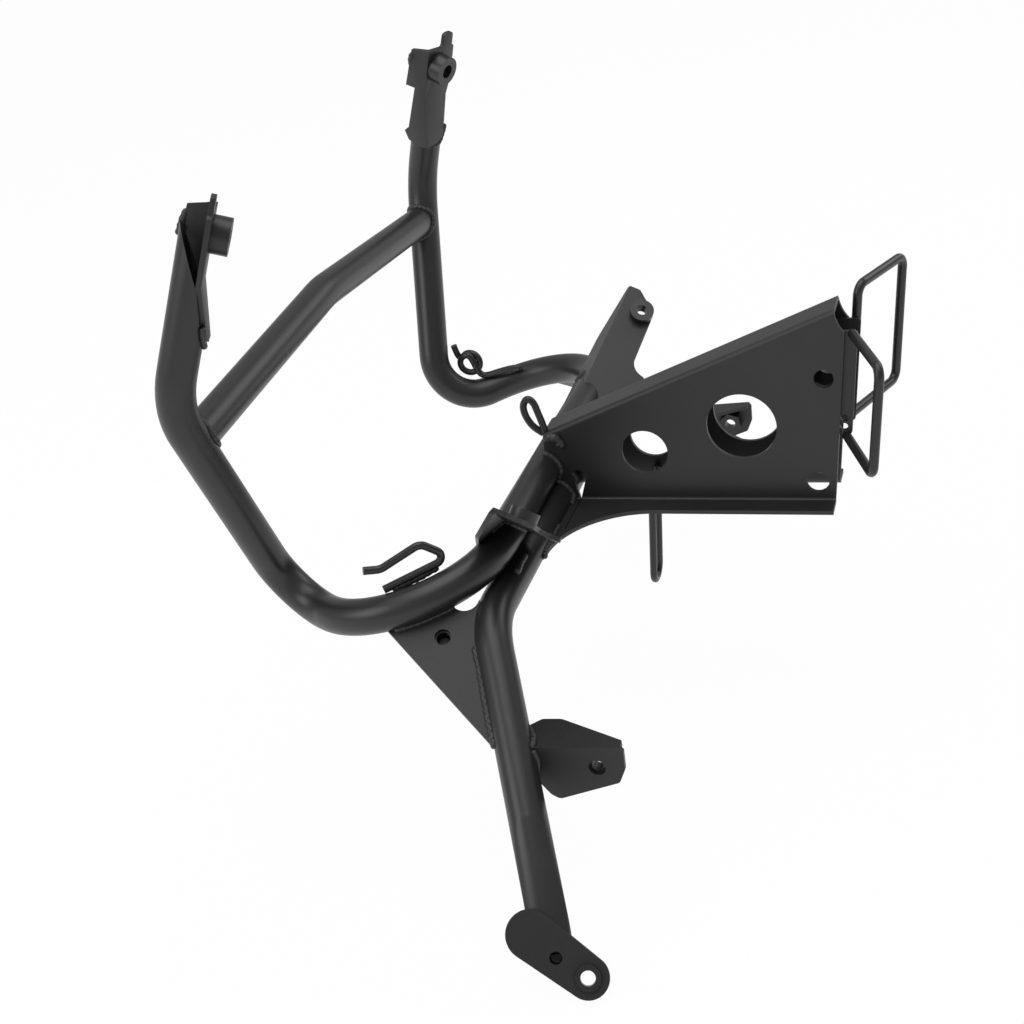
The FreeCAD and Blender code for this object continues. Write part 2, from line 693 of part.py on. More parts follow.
def angle_bracket():
    """Left angle bracket: an upright face and a ledge folded inwards, both fitted to the leg."""
    outline = [angle_point(*p) for p in ANGLE_FACE]
    face = Part.Face(rounded_loop(outline, ANGLE_FACE_R)).extrude(V(-ANGLE_T, 0, 0))
    front, rear = angle_point(*ANGLE_FOLD_FRONT), angle_point(*ANGLE_FOLD_REAR)
    ledge = Sheet(front, rear, front - V(ANGLE_X, 0, 0))
    shelf = ledge.plate(ANGLE_LEDGE, ANGLE_LEDGE_R, ANGLE_T, ANGLE_T)
    bracket = face.fuse(shelf).cut(solid_legs())
    return largest(bracket).cut(drill(angle_point(*ANGLE_HOLE), V(1, 0, 0), ANGLE_HOLE_D))


def weld_nut():
    """Left weld nut on the inner face of the angle bracket."""
    base = angle_point(*ANGLE_HOLE) - V(ANGLE_T, 0, 0)
    return hex_nut(base, V(-1, 0, 0), ANGLE_NUT_AF, ANGLE_NUT_BORE_D, ANGLE_NUT_H)


def foot_sheet():
    """Outer face of the left foot plate, from its large end to its small end."""
    big, small = at(*FOOT_BIG), at(*FOOT_SMALL)
    return Sheet(big, small, big + V(*FOOT_FACING).cross(small - big))


def foot_plate():
    """Left foot plate: an oval with a large and a small end, closing the leg."""
    sheet = foot_sheet()
    pitch = (at(*FOOT_SMALL) - at(*FOOT_BIG)).Length
    lean = math.asin((FOOT_BIG_R - FOOT_SMALL_R) / pitch)
    base = sheet.point(0, 0, -FOOT_T)
    plate = cylinder(base, sheet.n, 2 * FOOT_BIG_R, FOOT_T)
    plate = plate.fuse(cylinder(sheet.point(pitch, 0, -FOOT_T), sheet.n, 2 * FOOT_SMALL_R, FOOT_T))
    rise, along = math.cos(lean), math.sin(lean)
    corners = [(FOOT_BIG_R * along, -FOOT_BIG_R * rise), (pitch + FOOT_SMALL_R * along, -FOOT_SMALL_R * rise),
               (pitch + FOOT_SMALL_R * along, FOOT_SMALL_R * rise), (FOOT_BIG_R * along, FOOT_BIG_R * rise)]
    plate = plate.fuse(sheet.plate(corners, [0] * 4, FOOT_T, FOOT_T)).removeSplitter()
    plate = plate.cut(drill(sheet.point(FOOT_VENT_U, FOOT_VENT_V), sheet.n, FOOT_VENT_D))
    return plate.cut(drill(sheet.point(pitch, 0), sheet.n, FOOT_COLLAR_D))


def foot_collar():
    """Left collar in the small end of the foot plate."""
    sheet = foot_sheet()
    pitch = (at(*FOOT_SMALL) - at(*FOOT_BIG)).Length
    return ring(sheet.point(pitch, 0, -FOOT_T), sheet.n, FOOT_COLLAR_D, FOOT_BORE_D, FOOT_COLLAR_H)


def single_pieces():
    """Pieces that stand across the middle or on one side only."""
    return {
        "front_loop_tube": front_loop(),
        "cross_brace_tube": cross_brace(),
        "leg_tube": legs(),
        "head_bracket": head_bracket(),
        "left_cable_guide": left_guide(),
        "right_cable_guide": right_guide(),
        "hairpin_guide": hairpin_guide(),
        "ring_clip": ring_clip(),
        "left_hook_clip": hook_clip(),
        "right_pigtail_clip": pigtail_clip(),
    }


def paired_pieces():
    """Left-hand pieces that have a mirror image on the right."""
    return {
        "guide_strap": guide_strap(),
        "mirror_bracket": mirror_bracket(),
        "mirror_boss": mirror_boss(),
        "fairing_tab": fairing_tab(),
        "tab_boss": tab_boss(),
        "gusset": gusset(),
        "angle_bracket": angle_bracket(),
        "weld_nut": weld_nut(),
        "foot_plate": foot_plate(),
        "foot_collar": foot_collar(),
    }


def export():
    """Write every piece to its own file."""
    os.makedirs("parts", exist_ok=True)
    for name, shape in single_pieces().items():
        shape.exportStep("parts/" + name + ".step")
    for name, shape in paired_pieces().items():
        shape.exportStep("parts/left_" + name + ".step")
        mirrored(shape).exportStep("parts/right_" + name + ".step")


export()
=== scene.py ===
"""Looks of a motorcycle fairing stay: powder-coated steel, its weld beads, the studio and the camera.

Metres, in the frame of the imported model: +X is the rider's left, +Y the rear and +Z up, with the
origin at the upper steering-head bolt. Sizes of the fitted pieces are written in millimetres.
"""

import logging
import math
from dataclasses import dataclass, field, replace
from enum import Enum
from typing import Iterable, Sequence

import bpy
from mathutils import Matrix, Vector


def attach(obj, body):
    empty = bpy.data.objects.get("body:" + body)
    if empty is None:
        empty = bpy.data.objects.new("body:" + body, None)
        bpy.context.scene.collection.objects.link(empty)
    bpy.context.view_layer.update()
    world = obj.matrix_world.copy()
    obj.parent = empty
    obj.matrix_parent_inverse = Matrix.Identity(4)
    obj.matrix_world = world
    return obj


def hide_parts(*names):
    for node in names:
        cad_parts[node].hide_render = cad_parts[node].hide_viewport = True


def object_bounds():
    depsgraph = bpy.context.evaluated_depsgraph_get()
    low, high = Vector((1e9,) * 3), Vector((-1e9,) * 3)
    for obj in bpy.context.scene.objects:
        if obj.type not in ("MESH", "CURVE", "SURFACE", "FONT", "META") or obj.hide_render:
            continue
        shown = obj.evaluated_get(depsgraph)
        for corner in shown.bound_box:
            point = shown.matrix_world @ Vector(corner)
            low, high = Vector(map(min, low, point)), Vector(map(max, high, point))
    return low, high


log = logging.getLogger("fairing_stay")
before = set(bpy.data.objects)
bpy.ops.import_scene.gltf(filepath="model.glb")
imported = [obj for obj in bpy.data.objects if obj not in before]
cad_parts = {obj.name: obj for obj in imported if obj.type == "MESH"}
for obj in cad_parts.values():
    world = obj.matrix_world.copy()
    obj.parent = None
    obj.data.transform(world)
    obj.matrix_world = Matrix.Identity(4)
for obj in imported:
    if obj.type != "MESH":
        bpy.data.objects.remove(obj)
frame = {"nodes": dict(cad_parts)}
CAD_BOX = [list(corner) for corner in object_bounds()]

MM = 0.001
# Edges that turn by more than this stay sharp when a piece is shaded smooth.
SHARP = math.radians(35.0)
# The floor lies this far under the lowest point, so that the two never share a plane.
FLOOR_GAP = 0.0004
# Faces round a tool that drills a hole.
DRILL_SIDES = 32

Point = tuple[float, float, float]
Colour = tuple[float, float, float]


class Side(Enum):
    """Which side of the motorcycle a piece is on. The value is the sign of its X."""

    LEFT = 1
    RIGHT = -1

    def named(self, stem: str) -> str:
        """Name of a piece on this side."""
        return f"{self.name.lower()}_{stem}"


class Value:
    """A shader socket that takes part in Python arithmetic."""

    def __init__(self, graph: "Graph", socket: bpy.types.NodeSocket) -> None:
        """Wraps an output socket of a graph."""
        self.graph = graph
        self.socket = socket

    def _math(self, operation: str, a: "Operand", b: "Operand") -> "Value":
        """Adds one Math node for an operation on two operands."""
        return self.graph.math(operation, a, b)

    def __add__(self, other: "Operand") -> "Value":
        """Sum with a number or a socket."""
        return self._math("ADD", self, other)

    def __radd__(self, other: "Operand") -> "Value":
        """Sum with a number on the left."""
        return self._math("ADD", other, self)

    def __sub__(self, other: "Operand") -> "Value":
        """Difference from a number or a socket."""
        return self._math("SUBTRACT", self, other)

    def __rsub__(self, other: "Operand") -> "Value":
        """Difference of a number on the left and this."""
        return self._math("SUBTRACT", other, self)

    def __mul__(self, other: "Operand") -> "Value":
        """Product with a number or a socket."""
        return self._math("MULTIPLY", self, other)

    def __rmul__(self, other: "Operand") -> "Value":
        """Product with a number on the left."""
        return self._math("MULTIPLY", other, self)

    def __truediv__(self, other: "Operand") -> "Value":
        """Quotient with a number or a socket."""
        return self._math("DIVIDE", self, other)

    def __pow__(self, other: "Operand") -> "Value":
        """Power of this."""
        return self._math("POWER", self, other)

    def larger(self, other: "Operand") -> "Value":
        """The larger of this and another operand."""
        return self._math("MAXIMUM", self, other)

    def limited(self) -> "Value":
        """Holds this value between nought and one.

        Returns:
            The held value.
        """
        held = self._math("ADD", self, 0.0)
        held.socket.node.use_clamp = True
        return held


Operand = float | Value


class Graph:
    """The node tree of a material or of the world.

    Attributes:
        COLOUR_INPUTS: Places of a Mix node's two colour inputs.
        COLOUR_OUTPUT: Place of its mixed colour.
    """

    COLOUR_INPUTS = (6, 7)
    COLOUR_OUTPUT = 2

    def __init__(self, tree: bpy.types.NodeTree) -> None:
        """Empties a tree and starts afresh on it."""
        self.tree = tree
        tree.nodes.clear()

    def node(self, kind: str, settings: dict | None = None, **inputs: object) -> bpy.types.Node:
        """Adds a node, gives it its settings and then its inputs.

        Args:
            kind: The node's type name.
            settings: Attributes that are set before the inputs.
            **inputs: Values or sockets by input name, with underscores for spaces.

        Returns:
            The new node.
        """
        made = self.tree.nodes.new(kind)
        for key, value in (settings or {}).items():
            setattr(made, key, value)
        for key, value in inputs.items():
            self.feed(made.inputs[key.replace("_", " ")], value)
        return made

    def feed(self, target: bpy.types.NodeSocket, value: object) -> None:
        """Links or sets one input socket.

        Args:
            target: The input.
            value: A wrapped or bare output to link, or a plain value to set.
        """
        if isinstance(value, Value):
            self.tree.links.new(value.socket, target)
        elif isinstance(value, bpy.types.NodeSocket):
            self.tree.links.new(value, target)
        else:
            target.default_value = value

    def math(self, operation: str, a: Operand, b: Operand) -> Value:
        """Adds a Math node.

        Args:
            operation: Name of the operation.
            a: First operand.
            b: Second operand.

        Returns:
            Its result, ready for more arithmetic.
        """
        made = self.node("ShaderNodeMath", {"operation": operation})
        self.feed(made.inputs[0], a)
        self.feed(made.inputs[1], b)
        return Value(self, made.outputs[0])

    def out(self, made: bpy.types.Node, name: str) -> Value:
        """One output of a node as a value."""
        return Value(self, made.outputs[name])

    def object_place(self) -> Value:
        """Object coordinates."""
        return self.out(self.node("ShaderNodeTexCoord"), "Object")

    def noise(self, place: Value, size_m: float, detail: float, rough: float) -> Value:
        """Adds noise whose features are about one size.

        Args:
            place: Coordinates.
            size_m: Size of the features in metres.
            detail: Number of finer layers.
            rough: How strongly the finer layers count.

        Returns:
            The noise, from nought to one.
        """
        made = self.node("ShaderNodeTexNoise", {"noise_dimensions": "3D"}, Vector=place,
                         Scale=1.0 / size_m, Detail=detail, Roughness=rough)
        return self.out(made, "Fac")

    def coat(self, tints: tuple[Colour, Colour], share: Value, rough: Value, height: Value,
             bump: float, depth_m: float) -> None:
        """Ends a material: two tints, a roughness and bumps on one shader.

        Args:
            tints: The ground tint and the paler one.
            share: How much of the paler tint shows.
            rough: The roughness.
            height: Height of the bumps, from nought to one.
            bump: Strength of the bumps.
            depth_m: What a height of one measures, in metres.
        """
        colour = self.node("ShaderNodeMix", {"data_type": "RGBA"})
        self.feed(colour.inputs["Factor"], share)
        for place, tint in zip(self.COLOUR_INPUTS, tints):
            self.feed(colour.inputs[place], (*tint, 1.0))
        relief = self.node("ShaderNodeBump", None, Strength=bump, Distance=depth_m, Height=height)
        shader = self.node("ShaderNodeBsdfPrincipled", None, Base_Color=colour.outputs[self.COLOUR_OUTPUT],
                           Roughness=rough, Normal=relief.outputs["Normal"])
        self.node("ShaderNodeOutputMaterial", None, Surface=shader.outputs["BSDF"])


@dataclass(frozen=True)
class PowderCoat:
    """Satin black powder coat with a fine orange peel.

    Attributes:
        name: The material's name.
        tint: Its colour, as linear red, green and blue.
        roughness: Mean roughness.
        spread: How far the roughness wanders either way.
        peel_m: Size of the orange peel's bumps.
        peel_depth_m: Height of the bumps.
        grit: Share of finer grain in the bump.
        fade: How much lighter the palest patches are.
        cloud_m: Size of the paler patches.
        speck_m: Size of the specks in them.
        bump: Strength of the bumps.
    """

    name: str
    tint: Colour
    roughness: float
    spread: float = 0.05
    peel_m: float = 0.0016
    peel_depth_m: float = 0.00003
    grit: float = 0.25
    fade: float = 0.35
    cloud_m: float = 0.045
    speck_m: float = 0.0022
    bump: float = 0.6

    def build(self) -> bpy.types.Material:
        """Makes the material.

        Returns:
            A node material on object coordinates.
        """
        material = bpy.data.materials.new(self.name)
        material.use_nodes = True
        graph = Graph(material.node_tree)
        place = graph.object_place()
        cloud = graph.noise(place, self.cloud_m, 3.0, 0.6)
        speck = graph.noise(place, self.speck_m, 2.0, 0.55)
        peel = graph.noise(place, self.peel_m, 1.5, 0.5)
        grain = graph.noise(place, self.peel_m / 4.0, 1.0, 0.5)
        pale = tuple(min(1.0, c * (1.0 + self.fade) + 0.002) for c in self.tint)
        graph.coat(
            (self.tint, pale),
            share=((cloud - 0.4) * 1.6 + (speck - 0.5) * 0.5).limited(),
            rough=(self.roughness - self.spread) + cloud * (2.0 * self.spread) + (speck - 0.5) * 0.04,
            height=peel * (1.0 - self.grit) + grain * self.grit,
            bump=self.bump, depth_m=self.peel_depth_m)
        return material


@dataclass(frozen=True)
class WeldCoat:
    """The same coat over a weld: rougher, with spatter and the bead's own grain.

    Attributes:
        name: The material's name.
        tint: Its colour, as linear red, green and blue.
        roughness: Mean roughness.
        lump_m: Size of the lumps.
        grit_m: Size of the grit on them.
        fade: How much lighter the palest lumps are.
        bump: Strength of the bumps.
        depth_m: Height of the bumps.
    """

    name: str
    tint: Colour
    roughness: float
    lump_m: float = 0.0028
    grit_m: float = 0.0007
    fade: float = 0.9
    bump: float = 0.9
    depth_m: float = 0.0002

    def build(self) -> bpy.types.Material:
        """Makes the material.

        Returns:
            A node material on object coordinates.
        """
        material = bpy.data.materials.new(self.name)
        material.use_nodes = True
        graph = Graph(material.node_tree)
        place = graph.object_place()
        lumps = graph.noise(place, self.lump_m, 3.0, 0.6)
        grit = graph.noise(place, self.grit_m, 2.0, 0.6)
        pale = tuple(c * (1.0 + self.fade) + 0.004 for c in self.tint)
        graph.coat(
            (self.tint, pale),
            share=(lumps * 1.4 - 0.3).limited(),
            rough=self.roughness + (lumps - 0.5) * 0.2,
            height=lumps * 0.7 + grit * 0.3,
            bump=self.bump, depth_m=self.depth_m)
        return material


class Finish(Enum):
    """Every finish on the object."""

    TUBE = PowderCoat("tube_coat", (0.017, 0.017, 0.018), 0.36)
    SHEET = PowderCoat("sheet_coat", (0.015, 0.015, 0.016), 0.44, spread=0.05, peel_m=0.0013,
                       peel_depth_m=0.00004, grit=0.35)
    GUSSET = PowderCoat("grained_coat", (0.017, 0.017, 0.018), 0.47, spread=0.06, peel_m=0.0011,
                        peel_depth_m=0.00009, grit=0.45)
    WIRE = PowderCoat("wire_coat", (0.013, 0.013, 0.014), 0.34, spread=0.04, peel_m=0.0020,
                      peel_depth_m=0.00002, grit=0.15)
    TURNED = PowderCoat("turned_coat", (0.014, 0.014, 0.015), 0.36, spread=0.04, peel_m=0.0012,
                        peel_depth_m=0.00003, grit=0.3)
    WELD = WeldCoat("weld_coat", (0.018, 0.018, 0.019), 0.46)


class Finishes:
    """Builds each finish once and hands it out."""

    def __init__(self) -> None:
        """Starts with nothing built."""
        self._built: dict[Finish, bpy.types.Material] = {}

    def get(self, finish: Finish) -> bpy.types.Material:
        """Hands out the material of a finish.

        Args:
            finish: The finish.

        Returns:
            Its material, the same one at every call.
        """
        if finish not in self._built:
            self._built[finish] = finish.value.build()
        return self._built[finish]


@dataclass
class CadCoat:
    """Gives the carried-over CAD nodes their finishes.

    Attributes:
        finishes: Where the materials come from.
        groups: Ends of the nodes' names, by finish.
    """

    finishes: Finishes
    groups: dict[Finish, tuple[str, ...]] = field(default_factory=lambda: {
        Finish.TUBE: ("front_loop_tube", "cross_brace_tube", "leg_tube"),
        Finish.SHEET: ("head_bracket", "guide_strap", "mirror_bracket", "fairing_tab", "angle_bracket",
                       "foot_plate"),
        Finish.GUSSET: ("gusset",),
        Finish.WIRE: ("cable_guide", "hairpin_guide", "ring_clip", "hook_clip", "pigtail_clip"),
        Finish.TURNED: ("mirror_boss", "tab_boss", "weld_nut", "foot_collar"),
    })

    def apply(self, nodes: dict[str, bpy.types.Object]) -> None:
        """Puts a material in every slot of every node.

        Args:
            nodes: The frame's nodes by name.
        """
        for name, node in nodes.items():
            finish = next(finish for finish, stems in self.groups.items() if name.endswith(stems))
            for slot in node.material_slots:
                slot.material = self.finishes.get(finish)
            log.info("%s: %s", name, finish.name)


class Bench:
    """Modelling steps that the pieces share."""

    @staticmethod
    def place(point: Point, side: Side = Side.LEFT) -> Vector:
        """A point of the left side in millimetres, brought to a side in metres."""
        return Vector((side.value * point[0], point[1], point[2])) * MM

    @staticmethod
    def heading(direction: Point, side: Side = Side.LEFT) -> Vector:
        """A direction of the left side, brought to a side at unit length."""
        return Vector((side.value * direction[0], direction[1], direction[2])).normalized()

    @staticmethod
    def pick(*parts: bpy.types.Object) -> None:
        """Selects some objects and nothing else, and makes the first one active.

        Args:
            *parts: The objects.
        """
        bpy.ops.object.select_all(action="DESELECT")
        for part in parts:
            part.select_set(True)
        bpy.context.view_layer.objects.active = parts[0]

    @staticmethod
    def rod(name: str, start: Vector, axis: Vector, radius: float, depth: float,
            sides: int = 48) -> bpy.types.Object:
        """Adds a closed rod that starts at a place and runs along an axis.

        Args:
            name: Name of the piece.
            start: Centre of its first end, in metres.
            axis: Unit direction.
            radius: Radius in millimetres.
            depth: Length in millimetres.
            sides: Faces round it.

        Returns:
            The rod, with its place in its mesh.
        """
        bpy.ops.object.select_all(action="DESELECT")
        bpy.ops.mesh.primitive_cylinder_add(vertices=sides, radius=radius * MM, depth=depth * MM,
                                            location=start + axis * (depth * MM / 2),
                                            rotation=axis.to_track_quat("Z", "Y").to_euler())
        piece = bpy.context.object
        piece.name = name
        bpy.ops.object.transform_apply(location=True, rotation=True, scale=True)
        return piece

    @classmethod
    def apply(cls, piece: bpy.types.Object, kind: str, **settings: object) -> None:
        """Puts a modifier on a piece, sets it and applies it.

        Args:
            piece: The piece.
            kind: The modifier's type.
            **settings: Its settings by name.
        """
        cls.pick(piece)
        step = piece.modifiers.new(kind.lower(), kind)
        for key, value in settings.items():
            setattr(step, key, value)
        bpy.ops.object.modifier_apply(modifier=step.name)

    @classmethod
    def carve(cls, piece: bpy.types.Object, tool: bpy.types.Object, operation: str = "DIFFERENCE") -> None:
        """Cuts a piece with a tool, which is then gone."""
        cls.apply(piece, "BOOLEAN", operation=operation, object=tool, solver="EXACT")
        bpy.data.objects.remove(tool, do_unlink=True)

    @classmethod
    def drill(cls, piece: bpy.types.Object, start: Vector, axis: Vector, radius: float, depth: float) -> None:
        """Drills a hole from a place in metres, its radius and depth in millimetres."""
        cls.carve(piece, cls.rod("drill", start, axis, radius, depth, DRILL_SIDES))

    @classmethod
    def mend(cls, piece: bpy.types.Object, gap: float) -> None:
        """Merges the points of a piece that meet and turns its faces outwards.

        Args:
            piece: The piece.
            gap: Widest gap that is merged, in millimetres.
        """
        cls.pick(piece)
        bpy.ops.object.mode_set(mode="EDIT")
        bpy.ops.mesh.select_all(action="SELECT")
        bpy.ops.mesh.remove_doubles(threshold=gap * MM)
        bpy.ops.mesh.normals_make_consistent(inside=False)
        bpy.ops.object.mode_set(mode="OBJECT")

    @staticmethod
    def coat(piece: bpy.types.Object, material: bpy.types.Material) -> bpy.types.Object:
        """Coats a finished piece and lets it ride on the object.

        Args:
            piece: The piece.
            material: Its finish.

        Returns:
            The same piece.
        """
        piece.data.materials.clear()
        piece.data.materials.append(material)
        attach(piece, "root")
        return piece

    @classmethod
    def dress(cls, piece: bpy.types.Object, material: bpy.types.Material,
              ease: float = 0.0) -> bpy.types.Object:
        """Eases the edges of a piece, shades it smooth between them and coats it.

        Args:
            piece: The modelled piece.
            material: Its finish.
            ease: Width of the eased edges in millimetres.

        Returns:
            The same piece.
        """
        if ease:
            cls.apply(piece, "BEVEL", width=ease * MM, segments=2, limit_method="ANGLE", angle_limit=SHARP)
        cls.pick(piece)
        bpy.ops.object.shade_smooth_by_angle(angle=SHARP)
        return cls.coat(piece, material)


@dataclass(frozen=True)
class Seam:
    """The line of one weld, in millimetres.

    Attributes:
        points: Places that it passes, on the left side where both sides have one.
        radius: Radius of the bead.
        closed: Whether the line meets itself.
    """

    points: tuple[Point, ...]
    radius: float
    closed: bool = False

    def on(self, side: Side) -> "Seam":
        """The same seam on one side of the motorcycle."""
        return replace(self, points=tuple((side.value * x, y, z) for x, y, z in self.points))


PAIRED_SEAMS: dict[str, Seam] = {
    "brace_weld": Seam((
        (168.0, -288.8, 35.5), (163.3, -288.6, 34.4), (159.0, -285.8, 32.8), (156.3, -281.0, 32.0),
        (158.0, -275.4, 34.0), (161.4, -272.6, 37.0), (164.8, -271.4, 41.0), (165.9, -272.4, 45.8),
        (164.9, -275.7, 49.6), (164.4, -280.3, 51.6), (165.3, -285.0, 50.9), (167.8, -288.2, 48.8),
        (170.2, -288.9, 45.5), (170.0, -288.9, 40.6)), 1.8, closed=True),
    "head_loop_weld": Seam((
        (12.6, -157.4, -42.2), (12.8, -153.6, -44.4), (12.8, -150.6, -49.0), (12.8, -150.3, -54.0),
        (12.8, -152.6, -58.6), (12.6, -150.6, -60.8)), 2.0),
    "head_corner_weld": Seam((
        (13.2, -155.4, -32.8), (13.2, -152.0, -31.9), (13.2, -149.1, -33.8),
        (13.2, -147.2, -37.2)), 2.5),
    "head_leg_weld": Seam((
        (12.6, -150.6, -60.8), (12.8, -147.4, -63.5), (12.8, -144.7, -67.6), (14.4, -144.2, -70.6),
        (19.0, -144.3, -71.2)), 1.9),
    "flange_weld": Seam((
        (46.0, -144.6, -70.8), (56.0, -144.6, -70.8), (66.0, -144.6, -70.8),
        (75.0, -144.6, -70.8)), 1.7),
    "flange_end_weld": Seam((
        (76.6, -147.0, -73.0), (76.8, -144.6, -71.6), (76.8, -143.4, -72.2)), 1.8),
    "tab_fold_weld": Seam((
        (92.6, -157.6, -42.4), (92.1, -153.4, -44.6), (89.2, -151.0, -48.0),
        (85.4, -150.2, -51.2)), 1.9),
    "tab_front_weld": Seam((
        (103.0, -160.8, -42.2), (103.4, -164.2, -43.2), (103.2, -167.4, -45.8),
        (103.0, -169.2, -49.0)), 1.9),
    "tab_top_weld": Seam((
        (92.6, -158.2, -42.3), (97.1, -159.4, -42.2), (102.4, -160.9, -42.2)), 1.7),
    "gusset_loop_weld": Seam((
        (144.2, -173.8, -63.8), (147.2, -178.4, -65.2), (150.0, -183.4, -66.4), (153.0, -188.4, -67.5),
        (156.2, -194.8, -68.4), (158.4, -199.6, -69.0)), 2.1),
    "gusset_leg_weld": Seam((
        (197.4, -141.8, -109.0), (190.0, -145.4, -103.0), (182.6, -148.6, -97.2),
        (175.2, -151.8, -91.4), (170.4, -153.7, -87.7), (166.0, -155.4, -84.2), (162.4, -157.4, -81.2),
        (158.6, -158.8, -78.2)), 2.1),
    "angle_weld": Seam((
        (180.4, -130.4, -109.0), (183.4, -128.0, -108.8), (187.4, -125.4, -108.7),
        (192.2, -123.6, -108.6), (197.2, -123.0, -109.0)), 1.8),
    "angle_face_weld": Seam((
        (197.6, -122.2, -111.2), (197.6, -121.2, -116.3), (197.6, -122.0, -121.2),
        (197.4, -125.0, -125.0)), 1.8),
    "tube_seam_weld": Seam((
        (112.0, -148.3, -61.2), (104.0, -148.9, -61.2), (96.0, -149.0, -61.1)), 2.1),
    "mirror_low_weld": Seam((
        (175.4, -257.2, 101.2), (174.6, -258.6, 97.2), (172.8, -260.1, 93.4), (169.9, -261.9, 90.9),
        (166.7, -264.7, 90.5), (164.5, -269.0, 91.2)), 1.6),
    "mirror_tip_weld": Seam((
        (154.7, -263.0, 151.0), (156.4, -265.0, 147.6), (158.6, -265.9, 144.8),
        (161.6, -265.6, 142.8)), 1.9),
}

SINGLE_SEAMS: dict[str, Seam] = {
    "ring_weld": Seam((
        (8.4, -156.4, -30.2), (8.5, -158.6, -31.0), (8.6, -160.8, -31.6)), 1.5),
    "hook_weld": Seam((
        (146.8, -201.8, -52.2), (142.8, -195.2, -50.6), (139.4, -189.8, -49.0), (136.2, -184.6, -47.2),
        (134.4, -181.6, -46.1)), 2.1),
    "pigtail_weld": Seam((
        (-144.6, -226.0, -57.4), (-145.4, -222.0, -56.4), (-145.8, -219.6, -55.8)), 1.7),
}


@dataclass(frozen=True)
class Bead:
    """One weld bead: overlapping flattened drops along a seam, fused into one surface.

    Attributes:
        name: Name of the piece.
        seam: Its line and radius.
        pitch: Spacing of the drops as a share of the radius.
        squash: Length of a drop along the seam as a share of its width.
        segments: Faces round a drop.
        rings: Rows of faces on a drop.
        ripples: Height and rhythm of each wave in the drops' sizes.
        voxel_m: Grain of the fused surface.
        steps: Points that smooth the line between two of the seam's points.
    """

    name: str
    seam: Seam
    pitch: float = 0.62
    squash: float = 0.72
    segments: int = 12
    rings: int = 8
    ripples: tuple[tuple[float, float], ...] = ((0.10, 2.3), (0.05, 0.7))
    voxel_m: float = 0.00042
    steps: int = 12

    def line(self) -> list[Vector]:
        """Draws a smooth line through the seam's points.

        Returns:
            Close points of the line, in millimetres.
        """
        points = [Vector(p) for p in self.seam.points]
        if self.seam.closed:
            points = [points[-1]] + points + points[:2]
        else:
            points = [2 * points[0] - points[1]] + points + [2 * points[-1] - points[-2]]
        fine = []
        for a, b, c, d in zip(points, points[1:], points[2:], points[3:]):
            for k in range(self.steps):
                t = k / self.steps
                fine.append(0.5 * (2 * b + (c - a) * t + (2 * a - 5 * b + 4 * c - d) * t * t
                                   + (3 * b - a - 3 * c + d) * t ** 3))
        return fine + [points[-2]]

    def stations(self) -> list[Vector]:
        """Spaces the drops evenly along the line.

        Returns:
            The drops' centres, in millimetres.
        """
        fine = self.line()
        step = self.seam.radius * self.pitch
        places, left = [fine[0]], 0.0
        for p, q in zip(fine, fine[1:]):
            length = (q - p).length
            while left + length >= step:
                p = p.lerp(q, (step - left) / length)
                length = (q - p).length
                left = 0.0
                places.append(p.copy())
            left += length
        return places

    def drop(self, index: int, place: Vector, ahead: Vector) -> None:
        """Adds one drop to the mesh in edit mode.

        Args:
            index: Its number along the seam.
            place: Its centre, in millimetres.
            ahead: Direction of the seam there.
        """
        wobble = 1.0
        for height, rhythm in self.ripples:
            wobble += height * math.sin(index * rhythm)
        size = self.seam.radius * wobble * MM
        bpy.ops.mesh.primitive_uv_sphere_add(segments=self.segments, ring_count=self.rings, radius=1.0,
                                             location=place * MM,
                                             rotation=ahead.to_track_quat("X", "Z").to_euler(),
                                             scale=(size * self.squash, size, size))

    def make(self, material: bpy.types.Material) -> bpy.types.Object:
        """Models the bead.

        Args:
            material: Its finish.

        Returns:
            The finished piece, riding on the object.
        """
        places = self.stations()
        bpy.ops.object.select_all(action="DESELECT")
        bpy.ops.mesh.primitive_uv_sphere_add(segments=self.segments, ring_count=self.rings, radius=MM)
        piece = bpy.context.object
        piece.name = self.name
        bpy.ops.object.mode_set(mode="EDIT")
        bpy.ops.mesh.delete(type="VERT")
        for index, place in enumerate(places):
            ahead = places[min(index + 1, len(places) - 1)] - places[max(index - 1, 0)]
            self.drop(index, place, ahead)
        bpy.ops.mesh.select_all(action="SELECT")
        bpy.ops.mesh.normals_make_consistent(inside=False)
        bpy.ops.object.mode_set(mode="OBJECT")
        Bench.apply(piece, "REMESH", mode="VOXEL", voxel_size=self.voxel_m)
        Bench.apply(piece, "SMOOTH", factor=0.5, iterations=3)
        bpy.ops.object.shade_smooth()
        return Bench.coat(piece, material)


@dataclass
class Welds:
    """All the weld beads of the stay.

    Attributes:
        finishes: Where the material comes from.
        paired: Seams that both sides have, by the stem of the name.
        single: Seams that the stay has once, by name.
    """

    finishes: Finishes
    paired: dict[str, Seam] = field(default_factory=lambda: PAIRED_SEAMS)
    single: dict[str, Seam] = field(default_factory=lambda: SINGLE_SEAMS)

    def make(self) -> list[bpy.types.Object]:
        """Models every bead, the paired ones on both sides.

        Returns:
            The beads.
        """
        coat = self.finishes.get(Finish.WELD)
        pieces = []
        for stem, seam in self.paired.items():
            for side in Side:
                pieces.append(Bead(side.named(stem), seam.on(side)).make(coat))
        for name, seam in self.single.items():
            pieces.append(Bead(name, seam).make(coat))
        return pieces


